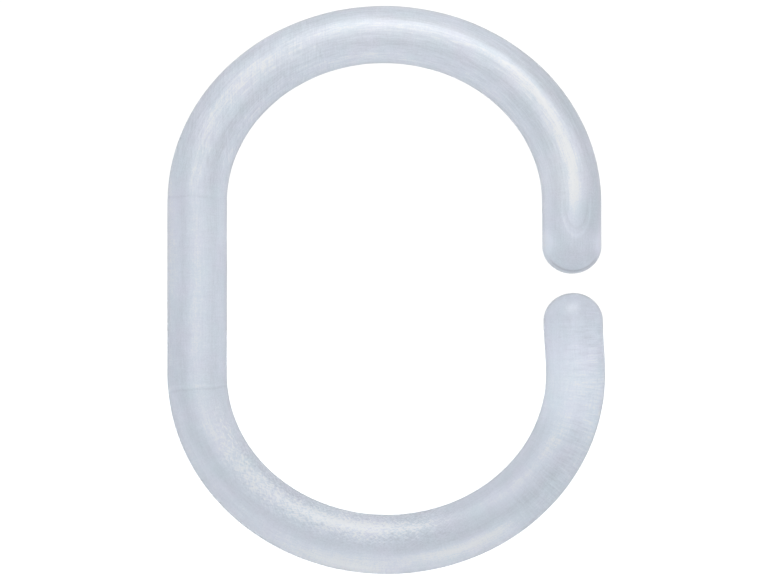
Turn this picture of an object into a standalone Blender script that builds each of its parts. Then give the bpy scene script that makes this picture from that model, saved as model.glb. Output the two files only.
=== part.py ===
"""A one-piece plastic ring that hangs a shower curtain from its rail.

The ring is a round moulded wire bent into an upright C: a half ellipse over the
rail, a straight back that works as its spring, a second half ellipse that
carries the curtain's eyelet, and two domed tips with a narrow mouth between
them. It stands in the XZ plane with its front towards -Y, its mouth on +X and
its back on -X. The origin is the rail seat, the lowest point of the wire under
the crown, and the rail runs through the ring along Y.

The moulding is modelled as its three regions: the arm over the rail, the
straight back, which bends when the ring is opened, and the arm under it.
"""

import math

import bpy
from mathutils import Vector

# Driving dimensions, in metres.
CROWN_RADIUS = 0.00301      # the wire is slimmest over the rail
BODY_RADIUS = 0.00313       # everywhere else
UPPER_TIP_RADIUS = 0.00312

UPPER_REACH_BACK = 0.01971  # half widths and rise of the upper half ellipse
UPPER_REACH_MOUTH = 0.01985
UPPER_RISE = 0.01777
UPPER_CENTRE = (0.0, CROWN_RADIUS - UPPER_RISE)

LOWER_REACH_BACK = 0.02000  # and of the lower one, which sits a little to the right
LOWER_REACH_MOUTH = 0.01998
LOWER_DROP = 0.01801
LOWER_CENTRE = (0.00029, -0.03283)

UPPER_TIP = (0.01987, -0.02225)  # ends of the two domes, either side of the mouth
LOWER_TIP = (0.02002, -0.02428)
DOME_HEIGHT = 0.94               # of the wire's radius: the domes are slightly flat

BACK_TOP = -0.01425         # the straight back's two ends, where the mould lines run
BACK_BOTTOM = -0.03443
LOWER_SEAM_X = -0.01963     # the lower arm joins the back a touch further in
SEAM_GAP = 0.0003           # kept between one region's end face and the next
SQUARE_RUN = 0.0003         # upright length of wire at each arm's end face

ARC_STEPS = 26              # wire sections in each quarter ellipse
DOME_STEPS = 7
WIRE_SIDES = 16

COLLECTION = "curtain_ring"


def quarter(centre, reach, rise, start, end, steps):
    """Points on an ellipse from one angle to another, in degrees: 0 is +X, 90 is +Z."""
    points = []
    for i in range(steps + 1):
        a = math.radians(start + (end - start) * i / steps)
        points.append(
            (centre[0] + reach * math.cos(a), centre[1] + rise * math.sin(a))
        )
    return points


def upper_radius(x):
    """The wire thins smoothly from the back and the mouth towards the crown."""
    reach = UPPER_REACH_MOUTH if x > 0 else UPPER_REACH_BACK
    side = BODY_RADIUS if x <= 0 else UPPER_TIP_RADIUS
    share = min(1.0, abs(x) / reach)
    return CROWN_RADIUS + (side - CROWN_RADIUS) * share * share


def domed_start(tip, inwards, radius):
    """The dome at a free end, from its tip up to the full wire: (x, z, radius)."""
    height = DOME_HEIGHT * radius
    sections = []
    for i in range(DOME_STEPS):
        a = math.radians(3 + 87 * i / DOME_STEPS)
        depth = height * (1 - math.cos(a))
        sections.append((tip[0], tip[1] + inwards * depth, radius * math.sin(a)))
    sections.append((tip[0], tip[1] + inwards * height, radius))
    return sections


def square_end(x, end, away):
    """A last short upright run, so that an arm's end face is square to the back."""
    return [(x, end + away * SQUARE_RUN / 2, BODY_RADIUS), (x, end, BODY_RADIUS)]


def upper_arm_sections():
    """From the upper tip, up the short straight beside the mouth and over the crown."""
    sections = domed_start(UPPER_TIP, 1, UPPER_TIP_RADIUS)
    mouth = quarter(UPPER_CENTRE, UPPER_REACH_MOUTH, UPPER_RISE, 0, 90, ARC_STEPS)
    back = quarter(UPPER_CENTRE, UPPER_REACH_BACK, UPPER_RISE, 90, 180, ARC_STEPS)
    end = BACK_TOP + SEAM_GAP / 2
    for x, z in mouth + back[1:]:
        if x < 0 and z < end + SQUARE_RUN:
            continue
        sections.append((x, z, upper_radius(x)))
    return sections + square_end(-UPPER_REACH_BACK, end, 1)


def straight_back_sections():
    top = BACK_TOP - SEAM_GAP / 2
    bottom = BACK_BOTTOM + SEAM_GAP / 2
    steps = 8
    x = -UPPER_REACH_BACK
    return [(x, top + (bottom - top) * i / steps, BODY_RADIUS) for i in range(steps + 1)]


def lower_arm_sections():
    """From the lower tip down beside the mouth, round the bottom and up to the back."""
    sections = domed_start(LOWER_TIP, -1, BODY_RADIUS)
    mouth = quarter(LOWER_CENTRE, LOWER_REACH_MOUTH, LOWER_DROP, 0, -90, ARC_STEPS)
    back = quarter(LOWER_CENTRE, LOWER_REACH_BACK, LOWER_DROP, -90, -180, ARC_STEPS)
    end = BACK_BOTTOM - SEAM_GAP / 2
    # The arm beside the mouth leans out by a few tenths on its way down.
    top = sections[-1]
    first = mouth[0]
    for share in (0.33, 0.66):
        eased = share * share * (3 - 2 * share)
        sections.append(
            (
                top[0] + (first[0] - top[0]) * eased,
                top[1] + (first[1] - top[1]) * share,
                BODY_RADIUS,
            )
        )
    for x, z in mouth + back[1:]:
        if x < 0 and z > end - SQUARE_RUN:
            continue
        sections.append((x, z, BODY_RADIUS))
    return sections + square_end(LOWER_SEAM_X, end, -1)


def wire(name, sections, material, collection):
    """A round wire through (x, z, radius) sections, with its ends capped."""
    curve = bpy.data.curves.new(name, "CURVE")
    curve.dimensions = "3D"
    curve.twist_mode = "MINIMUM"
    curve.bevel_depth = BODY_RADIUS
    curve.bevel_resolution = WIRE_SIDES // 2 - 2
    curve.use_fill_caps = True
    spline = curve.splines.new("POLY")
    spline.points.add(len(sections) - 1)
    spline.use_smooth = True
    for point, (x, z, radius) in zip(spline.points, sections):
        point.co = (x, 0, z, 1)
        point.radius = radius / BODY_RADIUS
    obj = bpy.data.objects.new(name, curve)
    curve.materials.append(material)
    collection.objects.link(obj)
    return obj


def frosted_plastic(name):
    """Translucent, faintly blue polypropylene with a satin gloss."""
    material = bpy.data.materials.new(name)
    material.use_nodes = True
    shader = material.node_tree.nodes["Principled BSDF"]
    shader.inputs["Base Color"].default_value = (0.62, 0.68, 0.76, 1)
    shader.inputs["Roughness"].default_value = 0.32
    shader.inputs["Metallic"].default_value = 0
    shader.inputs["IOR"].default_value = 1.49
    shader.inputs["Transmission Weight"].default_value = 0.55
    return material


def moved_to(obj, pivot):
    """Puts the object's origin on its joint's axis, leaving its shape where it is."""
    for spline in obj.data.splines:
        for point in spline.points:
            point.co = (
                point.co.x - pivot.x,
                point.co.y - pivot.y,
                point.co.z - pivot.z,
                1,
            )
    obj.location = pivot


def build():
    for obj in list(bpy.data.objects):
        bpy.data.objects.remove(obj, do_unlink=True)
    collection = bpy.data.collections.new(COLLECTION)
    bpy.context.scene.collection.children.link(collection)
    wire("upper_arm", upper_arm_sections(), frosted_plastic("frosted_upper"), collection)
    wire("straight_back", straight_back_sections(), frosted_plastic("frosted_back"), collection)
    lower = wire("lower_arm", lower_arm_sections(), frosted_plastic("frosted_lower"), collection)
    # The ring opens about the middle of its straight back, on the wire's centre line.
    moved_to(lower, Vector((-UPPER_REACH_BACK, 0, (BACK_TOP + BACK_BOTTOM) / 2)))


build()
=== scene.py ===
"""Looks for a one-piece plastic curtain ring: the moulded wire itself, its frosted
see-through plastic, and a plain pale studio."""

import math

import bpy
import numpy as np
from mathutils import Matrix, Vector, noise


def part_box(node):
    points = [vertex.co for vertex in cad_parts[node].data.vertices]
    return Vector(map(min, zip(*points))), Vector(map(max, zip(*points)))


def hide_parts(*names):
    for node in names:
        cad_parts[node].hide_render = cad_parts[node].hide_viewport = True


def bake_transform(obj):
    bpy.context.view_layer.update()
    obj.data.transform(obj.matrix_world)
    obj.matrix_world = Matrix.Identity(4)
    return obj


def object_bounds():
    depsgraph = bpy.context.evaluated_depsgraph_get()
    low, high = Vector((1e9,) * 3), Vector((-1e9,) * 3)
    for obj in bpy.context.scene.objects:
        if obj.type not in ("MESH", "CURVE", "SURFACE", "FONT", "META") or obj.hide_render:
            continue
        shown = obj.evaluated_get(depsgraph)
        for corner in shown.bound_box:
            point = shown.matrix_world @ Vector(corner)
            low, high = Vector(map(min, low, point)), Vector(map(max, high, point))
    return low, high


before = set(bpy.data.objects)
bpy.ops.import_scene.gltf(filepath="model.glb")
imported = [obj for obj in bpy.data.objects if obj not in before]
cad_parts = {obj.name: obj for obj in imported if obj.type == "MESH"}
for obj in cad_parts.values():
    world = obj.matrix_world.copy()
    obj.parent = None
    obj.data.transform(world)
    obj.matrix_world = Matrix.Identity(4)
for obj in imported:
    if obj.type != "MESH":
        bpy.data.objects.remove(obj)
cad_low, cad_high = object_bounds()

MM = 0.001

# ---------------------------------------------------------------------------
# The ring's line, from the CAD boxes
# ---------------------------------------------------------------------------

upper_low, upper_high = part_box("upper_arm")
back_low, back_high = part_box("straight_back")
lower_low, lower_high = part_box("lower_arm")

BODY_R = (back_high.x - back_low.x) / 2
BACK_X = (back_high.x + back_low.x) / 2
CROWN_R = upper_high.z / 2  # the rail seat, under the crown, is at z = 0
UPPER_TIP_R = BODY_R - 0.01 * MM
UPPER_TIP = (upper_high.x - UPPER_TIP_R, upper_low.z)
LOWER_TIP = (UPPER_TIP[0] + 0.15 * MM, lower_high.z)
DOME = 0.94

UPPER_RISE = 17.77 * MM
UPPER_Z = CROWN_R - UPPER_RISE
UPPER_REACH_MOUTH = UPPER_TIP[0] - 0.02 * MM

LOWER_X = 0.29 * MM
LOWER_REACH_MOUTH = lower_high.x - BODY_R - LOWER_X
LOWER_REACH_BACK = LOWER_X - BACK_X
LOWER_DROP = 18.01 * MM
LOWER_Z = lower_low.z + BODY_R + LOWER_DROP

MOULD_LINE_TOP = back_high.z + 0.15 * MM
MOULD_LINE_BOTTOM = back_low.z - 0.15 * MM


def line_points():
    """Dense points of the wire's centre line with its radius, from the root of the
    upper dome, over the crown, down the back and round to the root of the lower dome."""
    rows = []

    def add(x, z, r):
        rows.append((x, z, r))

    z0 = UPPER_TIP[1] + DOME * UPPER_TIP_R
    for i in range(60):
        t = i / 60
        ease = t * t * (3 - 2 * t)
        add(
            UPPER_TIP[0] + (UPPER_REACH_MOUTH - UPPER_TIP[0]) * ease,
            z0 + (UPPER_Z - z0) * t,
            UPPER_TIP_R,
        )
    for i in range(400):
        a = math.radians(90 * i / 400)
        s = math.cos(a)
        add(
            UPPER_REACH_MOUTH * math.cos(a),
            UPPER_Z + UPPER_RISE * math.sin(a),
            CROWN_R + (UPPER_TIP_R - CROWN_R) * s * s,
        )
    for i in range(400):
        a = math.radians(90 + 90 * i / 400)
        s = math.cos(a)
        add(
            -BACK_X * math.cos(a),
            UPPER_Z + UPPER_RISE * math.sin(a),
            CROWN_R + (BODY_R - CROWN_R) * s * s,
        )
    for i in range(120):
        add(BACK_X, UPPER_Z + (LOWER_Z - UPPER_Z) * i / 120, BODY_R)
    for i in range(400):
        a = math.radians(180 + 90 * i / 400)
        add(
            LOWER_X + LOWER_REACH_BACK * math.cos(a),
            LOWER_Z + LOWER_DROP * math.sin(a),
            BODY_R,
        )
    for i in range(400):
        a = math.radians(270 + 90 * i / 400)
        add(
            LOWER_X + LOWER_REACH_MOUTH * math.cos(a),
            LOWER_Z + LOWER_DROP * math.sin(a),
            BODY_R,
        )
    z1 = LOWER_TIP[1] - DOME * BODY_R
    x0 = LOWER_X + LOWER_REACH_MOUTH
    for i in range(61):
        t = i / 60
        ease = t * t * (3 - 2 * t)
        add(x0 + (LOWER_TIP[0] - x0) * ease, LOWER_Z + (z1 - LOWER_Z) * t, BODY_R)
    return np.array(rows)


def resampled(rows, step):
    """The same line at an even step, lightly smoothed, with its arc length."""
    gap = np.hypot(np.diff(rows[:, 0]), np.diff(rows[:, 1]))
    s = np.concatenate([[0], np.cumsum(gap)])
    count = int(round(s[-1] / step))
    even = np.linspace(0, s[-1], count + 1)
    line = np.stack([np.interp(even, s, rows[:, k]) for k in range(3)], axis=1)
    width = 9
    kernel = np.hanning(width + 2)[1:-1]
    kernel /= kernel.sum()
    padded = np.concatenate(
        [
            2 * line[0] - line[width:0:-1],
            line,
            2 * line[-1] - line[-2 : -width - 2 : -1],
        ]
    )
    smooth = np.stack(
        [np.convolve(padded[:, k], kernel, "same")[width:-width] for k in range(3)],
        axis=1,
    )
    smooth[0], smooth[-1] = line[0], line[-1]
    return smooth, even


STEP = 0.19 * MM
line, arc = resampled(line_points(), STEP)
tangent = np.gradient(line[:, :2], axis=0)
tangent /= np.hypot(tangent[:, 0], tangent[:, 1])[:, None]
# The line runs anticlockwise seen from the front, so outwards is to its right.
outward = np.stack([tangent[:, 1], -tangent[:, 0]], axis=1)


def arc_at_back(z):
    """Arc length where the line passes height z on the back's side."""
    left = np.where(line[:, 0] < -10 * MM)[0]
    i = left[np.argmin(np.abs(line[left, 1] - z))]
    return arc[i]


ARC_TOP = arc_at_back(MOULD_LINE_TOP)
ARC_BOTTOM = arc_at_back(MOULD_LINE_BOTTOM)
ARC_CROWN = arc[np.argmax(line[:, 1])]
ARC_FOOT = arc[np.argmin(line[:, 1])]
ARC_KNIT = ARC_CROWN - 1.35 * MM
ARC_END = arc[-1]

# ---------------------------------------------------------------------------
# Round section, with points gathered along the mould's parting line
# ---------------------------------------------------------------------------


def section_angles():
    """0 is outwards, 90 degrees towards the front, 180 inwards."""
    fine = [0.0, 0.5, 1.0, 1.6, 2.4, 3.4]
    half = sorted(set(fine) | {180 - f for f in fine} | set(np.linspace(7, 173, 47)))
    full = half + [180 + h for h in half[1:-1]] + []
    full = sorted(set(full) | {180.0})
    return np.radians(np.array(full))


angles = section_angles()
AROUND = len(angles)


def bell(x, width):
    return np.exp(-((x / width) ** 2))


def parting(theta, radius):
    """Distance along the skin from the nearer parting line, at 0 and 180 degrees."""
    wrapped = (theta + math.pi / 2) % math.pi - math.pi / 2
    return wrapped * radius


def smooth(value, low, high):
    """0 at low, 1 at high, easing between; high may be the smaller one."""
    t = min(1.0, max(0.0, (value - low) / (high - low)))
    return t * t * (3 - 2 * t)


def relief(s, theta, radius, full):
    """How far the skin stands off the plain round wire, in metres. The radius is the
    section's own, and full is the wire's beside it."""
    h = 0.0
    front = math.sin(theta)
    # A fine raised line where the mould's halves meet, stronger in some places.
    d = parting(theta, full)
    ridge = 0.55 + 0.45 * noise.noise(Vector((s * 90, theta, 3.1)))
    h += 0.012 * MM * ridge * math.exp(-((d / (0.10 * MM)) ** 2))
    # The mould lines at the back's two ends: a shallow groove and a step.
    for at, depth in ((ARC_TOP, 0.014), (ARC_BOTTOM, 0.020)):
        t = (s - at) / MM + 0.05 * noise.noise(Vector((theta * 2.2, at * 900, 0)))
        h -= depth * MM * math.exp(-((t / 0.16) ** 2))
    inside = math.tanh((s - ARC_TOP) / (0.24 * MM)) - math.tanh(
        (s - ARC_BOTTOM) / (0.24 * MM)
    )
    h += 0.005 * MM * inside
    # The faint line across the crown, where the plastic met in the mould.
    t = (s - ARC_KNIT) / MM + 0.22 * (1 - abs(front))
    h -= 0.004 * MM * math.exp(-((t / 0.20) ** 2)) * smooth(abs(front), 0.5, 0.9)
    # A fine crease across each face of the upper tip, just inside its rim.
    if s < 0:
        deep = abs(radius * front) / MM
        h -= 0.016 * MM * math.exp(-(((deep - 1.30) / 0.13) ** 2)) * smooth(
            -s / MM, 1.1, 2.3
        )
    # Slow unevenness of a moulding that shrank as it cooled.
    p = Vector((s, radius * math.cos(theta), radius * front))
    h += 0.022 * MM * noise.noise(p * 260 + Vector((7, 1, 4)))
    h += 0.005 * MM * noise.noise(p * 700 + Vector((1, 9, 2)))
    # Flow ripples along the wire.
    q = Vector((s * 120, p.y * 1500, p.z * 1500))
    h += 0.0015 * MM * noise.noise(q)
    return h


def dome_sections(tip, root, radius, upwards):
    """(x, z, radius) from the pole's first ring to the dome's root."""
    height = DOME * radius
    rows = []
    steps = 22
    for i in range(1, steps):
        a = math.radians(90 * i / steps)
        rows.append(
            (
                tip[0],
                tip[1] + upwards * height * (1 - math.cos(a)),
                radius * math.sin(a),
            )
        )
    return rows


def slope_at(s):
    return float(np.interp(s, arc, outward[:, 1]))


def build_ring():
    verts, straight, level = [], [], []
    sections = []
    # Upper dome: from its pole up to the wire.
    for x, z, r in dome_sections(UPPER_TIP, line[0], UPPER_TIP_R, 1):
        sections.append((x, z, r, (1.0, 0.0), -(DOME * UPPER_TIP_R - (z - UPPER_TIP[1]))))
    for i in range(len(line)):
        sections.append(
            (line[i, 0], line[i, 1], line[i, 2], tuple(outward[i]), arc[i])
        )
    for x, z, r in reversed(dome_sections(LOWER_TIP, line[-1], BODY_R, -1)):
        sections.append(
            (x, z, r, (1.0, 0.0), arc[-1] + DOME * BODY_R - (LOWER_TIP[1] - z))
        )
    cos, sin = np.cos(angles), np.sin(angles)
    for x, z, r, out, s in sections:
        full = BODY_R if r < 0.95 * CROWN_R else r
        for k in range(AROUND):
            h = relief(s, float(angles[k]), r, full) * min(1.0, r / (0.5 * BODY_R))
            q = r + h
            verts.append(
                (x + out[0] * q * cos[k], -q * sin[k], z + out[1] * q * cos[k])
            )
            straight.append((s, r * cos[k], r * sin[k]))
            level.append(slope_at(s))
    rings = len(sections)
    first = len(verts)
    verts.append((UPPER_TIP[0], 0.0, UPPER_TIP[1]))
    straight.append((-DOME * UPPER_TIP_R, 0.0, 0.0))
    level.append(slope_at(-1))
    verts.append((LOWER_TIP[0], 0.0, LOWER_TIP[1]))
    straight.append((arc[-1] + DOME * BODY_R, 0.0, 0.0))
    level.append(slope_at(1))
    faces = []
    for i in range(rings - 1):
        a, b = i * AROUND, (i + 1) * AROUND
        for k in range(AROUND):
            n = (k + 1) % AROUND
            faces.append((a + k, b + k, b + n, a + n))
    for k in range(AROUND):
        n = (k + 1) % AROUND
        faces.append((first, k, n))
        last = (rings - 1) * AROUND
        faces.append((first + 1, last + n, last + k))
    mesh = bpy.data.meshes.new("ring")
    mesh.from_pydata(verts, [], faces)
    mesh.validate()
    mesh.update()
    attribute = mesh.attributes.new("straight", "FLOAT_VECTOR", "POINT")
    attribute.data.foreach_set("vector", np.array(straight, np.float32).ravel() / MM)
    # How far outwards is upwards: 1 under the crown's top, -1 at the foot, 0 upright.
    turned = mesh.attributes.new("level", "FLOAT", "POINT")
    turned.data.foreach_set("value", np.array(level, np.float32))
    # Where each point is at rest, so patterns read from it stay put if the ring is later deformed.
    rest = mesh.attributes.new("at_rest", "FLOAT_VECTOR", "POINT")
    places = np.array([v.co for v in mesh.vertices], np.float32)
    rest.data.foreach_set("vector", places.ravel() / MM)
    mesh.shade_smooth()
    obj = bpy.data.objects.new("ring", mesh)
    bpy.context.scene.collection.objects.link(obj)
    return obj, np.array(straight)


ring, straight = build_ring()

# Normals face out: the volume is positive.
import bmesh

bm = bmesh.new()
bm.from_mesh(ring.data)
if bm.calc_volume(signed=True) < 0:
    bmesh.ops.reverse_faces(bm, faces=bm.faces)
    bm.to_mesh(ring.data)
bm.free()

# ---------------------------------------------------------------------------
# Frosted plastic
# ---------------------------------------------------------------------------


class Nodes:
    """Short names for making and joining a material's nodes."""

    def __init__(self, tree):
        self.tree = tree

    def new(self, kind, **values):
        node = self.tree.nodes.new(kind)
        for name, value in values.items():
            setattr(node, name, value)
        return node

    def join(self, a, b):
        self.tree.links.new(a, b)

    def math(self, operation, a, b=None, clamp=False):
        node = self.new("ShaderNodeMath", operation=operation, use_clamp=clamp)
        for i, v in enumerate((a, b)):
            if v is None:
                continue
            if isinstance(v, (int, float)):
                node.inputs[i].default_value = v
            else:
                self.join(v, node.inputs[i])
        return node.outputs[0]

    def scaled(self, vector, scale, offset=(0, 0, 0), turn=0.0):
        """The vector turned about Z by turn degrees, then scaled and moved."""
        if turn:
            spin = self.new("ShaderNodeMapping", vector_type="POINT")
            self.join(vector, spin.inputs["Vector"])
            spin.inputs["Rotation"].default_value = (0, 0, math.radians(turn))
            vector = spin.outputs[0]
        node = self.new("ShaderNodeMapping", vector_type="POINT")
        self.join(vector, node.inputs["Vector"])
        node.inputs["Scale"].default_value = scale
        node.inputs["Location"].default_value = offset
        return node.outputs[0]

    def noise(self, vector, scale, detail=2.0, rough=0.5):
        """Noise centred on 0, about -0.5 to 0.5; one cell is 1 / scale long."""
        node = self.new("ShaderNodeTexNoise", noise_dimensions="3D")
        self.join(vector, node.inputs["Vector"])
        node.inputs["Scale"].default_value = scale
        node.inputs["Detail"].default_value = detail
        node.inputs["Roughness"].default_value = rough
        return self.math("SUBTRACT", node.outputs["Fac"], 0.5)

    def total(self, *values):
        """The sum of sockets, numbers and (socket, weight) pairs."""
        result = None
        for value in values:
            if isinstance(value, tuple):
                value = self.math("MULTIPLY", value[0], value[1])
            result = value if result is None else self.math("ADD", result, value)
        return result

    def product(self, *values):
        result = values[0]
        for value in values[1:]:
            result = self.math("MULTIPLY", result, value)
        return result

    def ridge(self, value, at, width):
        """A smooth bump, 1 where value is at, and near 0 two widths away."""
        t = self.math("DIVIDE", self.math("SUBTRACT", value, at), width)
        return self.math("POWER", math.e, self.math("MULTIPLY", self.math("MULTIPLY", t, t), -1.0))

    def rise(self, value, low, high):
        """0 where value is at low, 1 at high; high may be the smaller one."""
        node = self.new("ShaderNodeMapRange", interpolation_type="SMOOTHSTEP")
        self.join(value, node.inputs["Value"])
        flip = high < low
        node.inputs["From Min"].default_value = min(low, high)
        node.inputs["From Max"].default_value = max(low, high)
        node.inputs["To Min"].default_value = 1.0 if flip else 0.0
        node.inputs["To Max"].default_value = 0.0 if flip else 1.0
        return node.outputs[0]

    def window(self, value, low, high, soft):
        """1 between low and high, fading over soft on each side."""
        up = self.rise(value, low - soft, low + soft)
        down = self.rise(value, high + soft, high - soft)
        return self.math("MULTIPLY", up, down)


TRANSMISSION = 0.72
ROUGHNESS = 0.34
COOL = (0.719, 0.789, 0.853)
VIOLET = (0.758, 0.774, 0.866)
# White that the painted highlights turn to.
HIGHLIGHT_WHITE = (0.818, 0.820, 0.816)


def frosted_plastic():
    """Milky see-through plastic. All its patterns are in millimetres, either along and
    round the wire (s, outward, front), or in the ring's own place at rest."""
    material = bpy.data.materials.new("clear_plastic")
    material.use_nodes = True
    tree = material.node_tree
    n = Nodes(tree)
    shader = tree.nodes["Principled BSDF"]
    wire = n.new("ShaderNodeAttribute", attribute_name="straight").outputs["Vector"]
    rest = n.new("ShaderNodeAttribute", attribute_name="at_rest").outputs["Vector"]
    axes = n.new("ShaderNodeSeparateXYZ")
    n.join(wire, axes.inputs[0])
    s, outward, front = axes.outputs[0], axes.outputs[1], axes.outputs[2]
    crown, top, bottom, foot, knit, end = (
        v / MM
        for v in (ARC_CROWN, ARC_TOP, ARC_BOTTOM, ARC_FOOT, ARC_KNIT, ARC_END)
    )
    radius = BODY_R / MM
    level = n.new("ShaderNodeAttribute", attribute_name="level").outputs["Fac"]
    level_2 = n.math("MULTIPLY", level, level)
    side = n.math("DIVIDE", outward, radius)

    # Patterns, each about -0.5 to 0.5.
    cloud = n.noise(wire, 0.17, 3.0, 0.55)
    cloud_small = n.noise(n.scaled(wire, (1, 1, 1), (31, 7, 2)), 0.75, 3.0, 0.6)
    flow = n.noise(n.scaled(wire, (0.055, 1.0, 1.0), (3, 0, 0)), 1.5, 4.0, 0.62)
    flow_fine = n.noise(n.scaled(wire, (0.10, 1.0, 1.0), (9, 4, 1)), 5.6, 3.0, 0.6)
    grain = n.noise(wire, 6.2, 2.0, 0.6)
    drawn = n.noise(n.scaled(rest, (1.0, 0.14, 0.07), (0, 5, 0)), 6.5, 2.0, 0.6)
    hatch_a = n.noise(n.scaled(wire, (0.24, 1.0, 0.7), (2, 0, 0), 26), 6.4, 2.0, 0.62)
    hatch_b = n.noise(n.scaled(wire, (0.24, 1.0, 0.7), (5, 3, 0), -34), 6.4, 2.0, 0.62)
    hatch = n.math("MULTIPLY", n.total(hatch_a, hatch_b), 0.7)
    # Bright specks of the mottled texture, shown only inside the painted highlight band as painted glints.
    glint_flecks = n.rise(hatch, 0.02, 0.14)
    across = n.noise(n.scaled(wire, (1.0, 0.10, 0.10), (0, 2, 8)), 5.0, 3.0, 0.68)

    # Where they show.
    upper_left = n.window(s, crown + 5, top - 1, 3.5)
    crown_arc = n.window(s, 8, top - 4, 5)
    mottled = n.product(
        n.window(s, bottom + 7, foot + 7, 5), n.rise(outward, 0.25 * radius, -0.35 * radius)
    )
    lower_right = n.product(
        n.window(s, foot + 16, end + 1, 4.0), n.rise(outward, -0.75 * radius, 0.55 * radius)
    )
    # Painted highlight along the inner side of the lower arc, over its real mottled texture.
    mottled_highlight = n.product(
        n.window(s, bottom + 3, foot + 3, 5), n.ridge(outward, -0.62 * radius, 0.20 * radius)
    )
    back = n.window(s, top, bottom, 0.10)
    # The upper tip is glossy up to a U-shaped edge where the wire's haze begins.
    across_u = n.math("DIVIDE", n.math("SUBTRACT", outward, 0.30), 1.45)
    along_u = n.math("DIVIDE", n.math("MINIMUM", n.math("SUBTRACT", s, 4.3), 0.0), 3.1)
    u = n.math(
        "SQRT",
        n.total(n.math("MULTIPLY", across_u, across_u), n.math("MULTIPLY", along_u, along_u)),
    )
    near_u = n.rise(s, 6.5, 3.0)
    u_line = n.product(n.ridge(u, 1.05, 0.07), near_u)
    u_line_inner = n.product(n.ridge(u, 0.80, 0.05), near_u)
    bare_tip = n.product(n.rise(u, 0.85, 1.25), n.rise(s, 4.6, 1.6))
    smooth_end = n.rise(s, end - 0.6, end + 1.4)

    # Painted shade and painted highlight across the wire: two darker bands run the length of the wire, one on its
    # inner and one on its outer side, with a lighter painted highlight core between them. They drift with the bend,
    # following the side of the wire that faces up.
    inner_at = n.total(-0.57, (level, 0.27), (level_2, -0.04))
    outer_at = n.total(0.45, (level, 0.335), (level_2, -0.045))
    core_at = n.total(0.0, (level, 0.425), (level_2, -0.185))
    drift = n.total(side, (n.noise(n.scaled(wire, (0.12, 0, 0)), 1.0, 2.0), 0.16))
    inner_shade_band = n.ridge(n.math("SUBTRACT", drift, inner_at), 0.0, 0.22)
    outer_shade_band = n.ridge(n.math("SUBTRACT", drift, outer_at), 0.0, 0.24)
    core_highlight_band = n.ridge(n.math("SUBTRACT", drift, core_at), 0.0, 0.17)
    # Painted light on the last stretch before the lower tip; the bands fade there too.
    last_stretch = n.rise(s, end - 13.5, end - 9.0)
    banding = n.product(
        n.rise(s, -0.5, 2.5), n.math("SUBTRACT", 1.0, n.math("MULTIPLY", last_stretch, 0.75))
    )
    # Painted shade just before the last stretch.
    shade_before_last = n.window(s, end - 22, end - 13, 2.5)
    # Painted shade along the wire's edges over the crown.
    crown_edge_shade = n.product(
        n.rise(level, 0.2, 0.8), n.rise(n.math("ABSOLUTE", side), 0.82, 1.0)
    )

    # Lines.
    # A dark line on the mould's parting line, partly its real mark and partly painted shade darkening the ring's
    # outline, and a wider band of painted shade along the outline.
    parting_line_shade = n.ridge(front, 0.0, 0.11)
    outline_shade = n.ridge(front, 0.0, 0.50)
    wavy = n.total(s, (n.noise(wire, 0.42, 1.0), 0.75), (n.product(side, side), -0.22))
    top_line = n.product(
        n.ridge(wavy, top - 0.08, 0.10), n.rise(cloud_small, -0.20, 0.05), n.rise(side, -0.9, 0.1)
    )
    top_line = n.total(top_line, (n.ridge(s, top, 0.07), 0.5))
    bottom_line = n.ridge(wavy, bottom - 0.05, 0.12)
    bottom_light = n.ridge(wavy, bottom - 0.36, 0.15)
    knit_at = n.total(s, (n.math("ABSOLUTE", outward), 0.10))
    knit_shown = n.product(
        n.rise(n.math("ABSOLUTE", front), 2.2, 2.9), n.rise(cloud_small, -0.12, 0.10)
    )
    knit_light = n.product(n.ridge(knit_at, knit + 0.05, 0.09), knit_shown)
    knit_dark = n.product(n.ridge(knit_at, knit + 0.33, 0.16), knit_shown)
    deep = n.math("ABSOLUTE", front)
    # Painted shade along the upper tip's real crease, and painted shade on the rim beyond it.
    tip_crease_shade = n.product(n.ridge(deep, 1.34, 0.22), n.rise(s, -0.9, -2.1))
    tip_rim_shade = n.product(n.rise(deep, 1.30, 1.05), n.rise(s, -0.3, -1.6))
    # Painted highlight on the upper tip's two flanks.
    tip_flank_highlight = n.product(
        n.ridge(s, 0.25, 1.15), n.rise(n.math("ABSOLUTE", side), 0.45, 0.97)
    )
    # Painted highlight down the core of the upper arm near its tip.
    tip_core_highlight = n.product(n.window(s, 4.2, 10, 1.8), n.ridge(side, 0.16, 0.26))
    # Painted shade on the rim of the lower tip.
    end_rim_shade = n.product(n.rise(deep, 1.25, 0.55), n.rise(s, end + 1.0, end + 2.3))

    # Patches of painted highlight and painted shade: from and to along the wire, the place across it (-1 inside, 1
    # outside), its width, and how much.
    painted_patches = [
        (n.product(n.window(s, start, stop, 3.5), n.ridge(side, place, width)), amount)
        for start, stop, place, width, amount in (
            (-4, 3, 0.0, 0.80, -0.11),
            (-4, 3, 0.70, 0.16, -0.08),
            (3, 20, 0.80, 0.24, -0.17),
            (3, 20, -0.55, 0.30, -0.06),
            (18, crown + 8, 0.98, 0.22, -0.13),
            (12, crown + 1, 0.50, 0.12, -0.17),
            (12, crown + 5, -0.37, 0.16, -0.06),
            (top - 1, bottom - 1, 1.0, 0.16, 0.06),
            (crown + 12, top, -0.42, 0.30, -0.08),
            (top, bottom - 9, 0.66, 0.26, 0.06),
            (foot - 9, foot, 0.75, 0.35, 0.10),
            (bottom, foot - 8, -0.78, 0.20, -0.09),
            (bottom, foot - 1, -0.70, 0.10, 0.07),
            (foot + 1, foot + 13, -0.25, 0.34, -0.10),
            (foot + 2, foot + 13, 0.45, 0.22, 0.15),
            (foot + 13, foot + 24, -0.42, 0.22, 0.06),
            (end - 3, end + 8, 0.0, 1.1, -0.135),
        )
    ]
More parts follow.
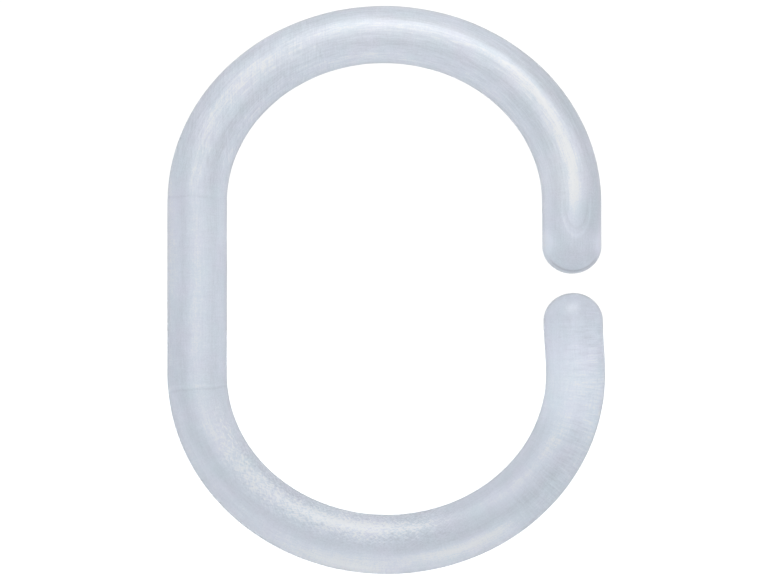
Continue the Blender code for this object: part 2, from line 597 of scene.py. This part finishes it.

    # How much light the plastic lets through and gives back: its own cloudiness and marks, with painted highlights
    # and painted shade added in.
    shade = n.total(
        1.016,
        (cloud, 0.13),
        (cloud_small, 0.08),
        (n.product(flow, n.total(0.35, (crown_arc, 0.65))), 0.26),
        (n.product(flow_fine, n.total(0.45, (crown_arc, 0.55))), 0.46),
        (grain, 0.28),
        (n.product(drawn, upper_left), 0.36),
        (n.product(hatch, mottled), 0.95),
        # Painted glints and painted highlight on the lower arc's mottled band.
        (n.product(glint_flecks, mottled_highlight), 0.24),
        (mottled_highlight, 0.115),
        (n.product(across, n.total(0.24, lower_right)), 0.54),
        # Parting line, partly its real mark and partly painted shade, and painted shade along the outline.
        (parting_line_shade, -0.07),
        (outline_shade, -0.05),
        (top_line, -0.070),
        (bottom_line, -0.085),
        (bottom_light, 0.060),
        # Patches of painted highlight and painted shade.
        *painted_patches,
        (knit_light, 0.035),
        (knit_dark, -0.030),
        (back, -0.015),
        # Painted shade in the two bands, painted highlight in the core, and a stronger painted highlight core along
        # the upper arm.
        (n.product(inner_shade_band, banding), -0.090),
        (n.product(outer_shade_band, banding), -0.105),
        (n.product(core_highlight_band, banding), 0.050),
        (n.product(core_highlight_band, n.window(s, 4, 21, 4)), 0.085),
        # Painted shade at the crown's edges.
        (crown_edge_shade, -0.060),
        # Painted light on the last stretch and painted shade just before it.
        (last_stretch, 0.095),
        (shade_before_last, -0.040),
        (u_line, 0.10),
        (u_line_inner, -0.08),
        # Painted shade along the upper tip's crease and on its rim.
        (tip_crease_shade, -0.34),
        (tip_rim_shade, -0.05),
        # Painted highlight on the upper tip's flanks.
        (tip_flank_highlight, 0.30),
        # Painted shade on the lower tip's rim.
        (end_rim_shade, -0.15),
        # Painted highlight in the upper arm's core.
        (tip_core_highlight, 0.05),
    )
    tint = n.new("ShaderNodeMix", data_type="RGBA")
    n.join(n.math("ADD", n.math("MULTIPLY", n.noise(wire, 0.33, 2.0), 2.6), 0.5, clamp=True), tint.inputs["Factor"])
    # The node's number and colour sockets share names, so they are taken by type.
    colours = [i for i in tint.inputs if i.type == "RGBA"]
    colours[0].default_value = (*COOL, 1)
    colours[1].default_value = (*VIOLET, 1)
    tinted = [o for o in tint.outputs if o.type == "RGBA"][0]
    shaded = n.new("ShaderNodeVectorMath", operation="SCALE")
    # Where the colour is lightest, its blue gives way to white: a painted highlight tint, strongest on the painted
    # highlights.
    highlight_white_mix = n.new("ShaderNodeMix", data_type="RGBA")
    n.join(
        n.rise(n.total(shade, (last_stretch, -0.09), (tip_flank_highlight, -0.25)), 1.01, 1.16), highlight_white_mix.inputs["Factor"]
    )
    colours = [i for i in highlight_white_mix.inputs if i.type == "RGBA"]
    n.join(tinted, colours[0])
    colours[1].default_value = (*HIGHLIGHT_WHITE, 1)
    n.join([o for o in highlight_white_mix.outputs if o.type == "RGBA"][0], shaded.inputs[0])
    # No part of the plastic gives back more light than reaches it.
    cap = n.new("ShaderNodeMath", operation="SMOOTH_MIN")
    n.join(shade, cap.inputs[0])
    cap.inputs[1].default_value = 1.17
    cap.inputs[2].default_value = 0.12
    n.join(cap.outputs[0], shaded.inputs["Scale"])
    n.join(shaded.outputs[0], shader.inputs["Base Color"])

    rough = n.total(
        ROUGHNESS,
        (cloud_small, 0.05),
        (flow, 0.06),
        (n.product(drawn, upper_left), 0.03),
        (n.product(hatch, mottled), 0.08),
        (n.product(across, lower_right), 0.06),
        (grain, 0.02),
        (bare_tip, -0.03),
        (smooth_end, -0.02),
    )
    n.join(n.math("MAXIMUM", rough, 0.295), shader.inputs["Roughness"])

    # Fine relief, in millimetres.
    matt = n.math("SUBTRACT", 1.0, n.math("MULTIPLY", bare_tip, 0.85))
    height = n.product(
        n.total(
            (grain, 0.0018),
            (cloud_small, 0.0030),
            (n.product(flow, n.total(0.4, (crown_arc, 0.6))), 0.0040),
            (flow_fine, 0.0020),
            (n.product(drawn, upper_left), 0.0012),
            (n.product(hatch, mottled), 0.0070),
            (n.product(across, n.total(0.2, lower_right)), 0.0070),
            (u_line, 0.005),
            (knit_light, 0.003),
            (knit_dark, -0.003),
        ),
        matt,
    )
    bump = n.new("ShaderNodeBump")
    bump.inputs["Strength"].default_value = 1.0
    bump.inputs["Distance"].default_value = MM
    n.join(height, bump.inputs["Height"])
    n.join(bump.outputs[0], shader.inputs["Normal"])

    shader.inputs["IOR"].default_value = 1.49
    shader.inputs["Transmission Weight"].default_value = TRANSMISSION
    return material


ring.data.materials.append(frosted_plastic())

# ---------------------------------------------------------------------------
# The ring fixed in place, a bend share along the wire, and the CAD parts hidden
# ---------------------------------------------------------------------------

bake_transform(ring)
# The two tips face each other across a narrow mouth, so a bend share is worked out by length along the wire and not
# by height: none on the upper arm, all on the lower. Nothing in this script applies it.
share = np.clip((straight[:, 0] - ARC_TOP) / (ARC_BOTTOM - ARC_TOP), 0, 1)
share = share * share * (3 - 2 * share)
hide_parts("upper_arm", "straight_back", "lower_arm")

# ---------------------------------------------------------------------------
# Studio
# ---------------------------------------------------------------------------

centre_x = 0.293 * MM
centre_z = -23.97 * MM

# A white table below the ring, clear of it in every pose, and lit to the white of
# the backdrop.
TABLE_CLEARANCE = 16 * MM
TABLE_GLOW = 0.45
TABLE_LIFT = 0.20
floor_mesh = bpy.data.meshes.new("floor")
half = 3.0
floor_z = cad_low.z - TABLE_CLEARANCE
floor_mesh.from_pydata(
    [(-half, -half, 0), (half, -half, 0), (half, half, 0), (-half, half, 0)],
    [],
    [(0, 1, 2, 3)],
)
floor = bpy.data.objects.new("floor", floor_mesh)
floor.location = (0, 0, floor_z)
bpy.context.scene.collection.objects.link(floor)
floor_material = bpy.data.materials.new("floor_white")
floor_material.use_nodes = True
floor_shader = floor_material.node_tree.nodes["Principled BSDF"]
floor_shader.inputs["Base Color"].default_value = (0.86, 0.87, 0.88, 1)
floor_shader.inputs["Roughness"].default_value = 0.9
floor_shader.inputs["Specular IOR Level"].default_value = 0.1
floor_shader.inputs["Emission Color"].default_value = (0.98, 0.99, 1.0, 1)
fn = Nodes(floor_material.node_tree)
fn.join(
    fn.total(
        (fn.new("ShaderNodeLightPath").outputs["Is Camera Ray"], TABLE_GLOW), TABLE_LIFT
    ),
    floor_shader.inputs["Emission Strength"],
)
floor_mesh.materials.append(floor_material)

# The studio round the ring: bright behind and above, dim in front and at the sides.
WORLD_BASE = 0.24
WORLD_BACK = 0.56
WORLD_FRONT = 0.55
WORLD_SIDE = 0.30
WORLD_TOP = 0.22
world = bpy.data.worlds.new("studio")
bpy.context.scene.world = world
world.use_nodes = True
wn = Nodes(world.node_tree)
background = world.node_tree.nodes["Background"]
output = world.node_tree.nodes["World Output"]
seen = wn.new("ShaderNodeBackground")
seen.inputs["Color"].default_value = (1, 1, 1, 1)
seen.inputs["Strength"].default_value = 1.05
background.inputs["Color"].default_value = (0.97, 0.985, 1.0, 1)
direction = wn.new("ShaderNodeTexCoord").outputs["Generated"]
parts = wn.new("ShaderNodeSeparateXYZ")
wn.join(direction, parts.inputs[0])


def lobe(value, low, high, amount):
    """amount, coming in smoothly as value goes from low to high."""
    ramp = wn.new("ShaderNodeMapRange", interpolation_type="SMOOTHSTEP")
    wn.join(value, ramp.inputs["Value"])
    ramp.inputs["From Min"].default_value = low
    ramp.inputs["From Max"].default_value = high
    return wn.math("MULTIPLY", ramp.outputs[0], amount)


strength = wn.total(
    WORLD_BASE,
    lobe(parts.outputs["Y"], -0.1, 0.80, WORLD_BACK),
    lobe(wn.math("MULTIPLY", parts.outputs["Y"], -1.0), 0.2, 0.9, WORLD_FRONT),
    lobe(wn.math("ABSOLUTE", parts.outputs["X"]), 0.3, 0.9, WORLD_SIDE),
    lobe(parts.outputs["Z"], 0.15, 0.95, WORLD_TOP),
)
wn.join(strength, background.inputs["Strength"])
path = wn.new("ShaderNodeLightPath")
mix = wn.new("ShaderNodeMixShader")
wn.join(path.outputs["Is Camera Ray"], mix.inputs[0])
wn.join(background.outputs[0], mix.inputs[1])
wn.join(seen.outputs[0], mix.inputs[2])
wn.join(mix.outputs[0], output.inputs["Surface"])


def softbox(name, where, aim, width, height, radiance, colour=(1, 1, 1)):
    """An area light at where that faces aim, both in millimetres."""
    data = bpy.data.lights.new(name, "AREA")
    data.shape = "RECTANGLE"
    data.size, data.size_y = width * MM, height * MM
    data.energy = radiance * math.pi * data.size * data.size_y
    data.color = colour
    obj = bpy.data.objects.new(name, data)
    away = (Vector(where) - Vector(aim)).normalized()
    obj.location = Vector(where) * MM
    obj.rotation_mode = "QUATERNION"
    obj.rotation_quaternion = away.to_track_quat("Z", "Y")
    obj.visible_camera = False
    bpy.context.scene.collection.objects.link(obj)
    return obj


KEY = 3.3
STRIP = 1.2
BEHIND = 0.08
softbox("key", (10, -44, 44), (0, 0, -10), 60, 58, KEY, (1.0, 0.975, 0.94))
softbox("strip", (30, -160, -20), (0, 0, -24), 26, 60, STRIP)
softbox("behind", (0, 95, -25), (0, 0, -25), 220, 26, BEHIND)

camera_data = bpy.data.cameras.new("camera")
camera_data.lens = 135
camera_data.sensor_width = 36
camera = bpy.data.objects.new("camera", camera_data)
distance = 81.65 * MM * 135 / 36
camera.location = (centre_x, -distance, centre_z)
camera.rotation_euler = (math.radians(90), 0, 0)
camera_data.clip_start = 0.01
camera_data.clip_end = 20
bpy.context.scene.collection.objects.link(camera)
bpy.context.scene.camera = camera

view = bpy.context.scene.view_settings
view.view_transform = "Standard"
view.look = "None"
bpy.context.scene.cycles.max_bounces = 16
bpy.context.scene.cycles.transmission_bounces = 12
